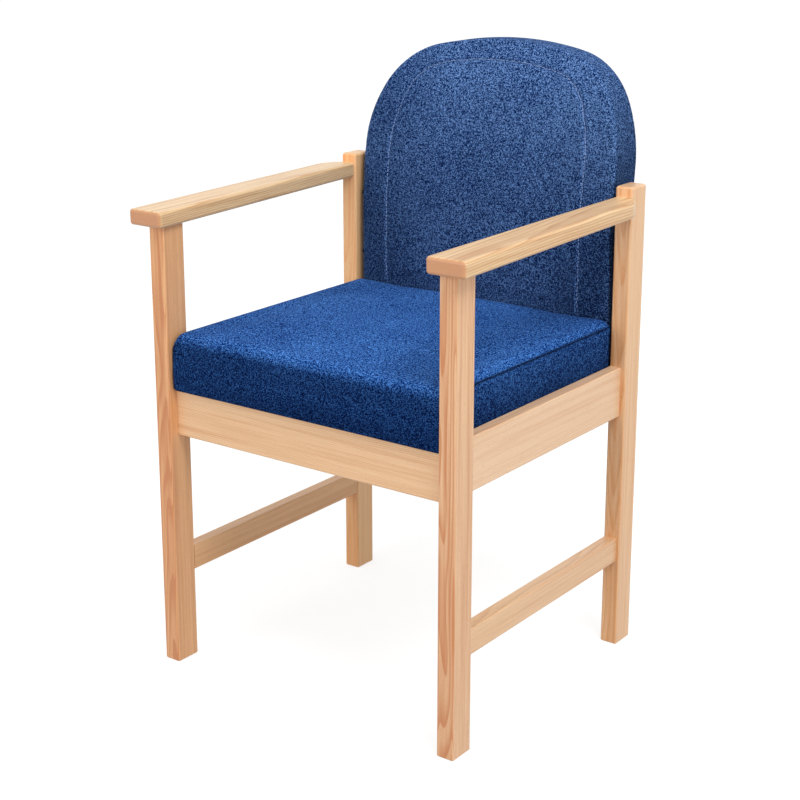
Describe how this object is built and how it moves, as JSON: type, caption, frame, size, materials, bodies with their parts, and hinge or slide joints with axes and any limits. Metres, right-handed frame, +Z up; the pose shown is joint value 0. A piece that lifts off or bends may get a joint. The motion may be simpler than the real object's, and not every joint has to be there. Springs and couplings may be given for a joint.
{
  "type": "dining armchair",
  "caption": "Wooden dining armchair with straight legs, flat arms, a padded seat and a padded back with an arched top.",
  "frame": {"origin": "on the floor under the middle of the whole chair", "axes": "+Z up, the chair faces -Y, +X is the right-hand side as seen from in front"},
  "size_m": [0.542, 0.5402, 0.8546],
  "materials": {
    "beech": "satin lacquer over straight-grained beech",
    "block_wood": "raw softwood",
    "plywood": "raw plywood",
    "dowel_wood": "raw beech",
    "seat_cloth": "heathered blue wool-like cloth",
    "back_cloth": "heathered blue wool-like cloth",
    "foam": "open foam",
    "lining": "thin black non-woven cloth",
    "screw_steel": "zinc plated"
  },
  "bodies": {
    "root": {"front_leg_left": "beech", "front_leg_right": "beech", "rear_leg_left": "beech", "rear_leg_right": "beech", "arm_left": "beech", "arm_right": "beech", "side_rail_left": "beech", "side_rail_right": "beech", "stretcher_left": "beech", "stretcher_right": "beech", "front_rail": "beech", "rear_rail": "beech", "front_corner_block_left": "block_wood", "front_corner_block_right": "block_wood", "rear_corner_block_left": "block_wood", "rear_corner_block_right": "block_wood", "seat_side_panel_left": "seat_cloth", "seat_side_panel_right": "seat_cloth", "seat_cover": "seat_cloth", "back_cover_front": "back_cloth", "back_cover_rear": "back_cloth", "back_stile_left": "block_wood", "back_stile_right": "block_wood", "seat_board": "plywood", "back_board": "plywood", "seat_foam": "foam", "back_foam": "foam", "seat_lining": "lining", "front_rail_dowels": "dowel_wood", "rear_rail_dowels": "dowel_wood", "side_rail_dowels": "dowel_wood", "stretcher_dowels": "dowel_wood", "arm_dowels": "dowel_wood", "back_dowels": "dowel_wood", "corner_block_screws": "screw_steel", "seat_screws": "screw_steel"}
  },
  "joints": []
}
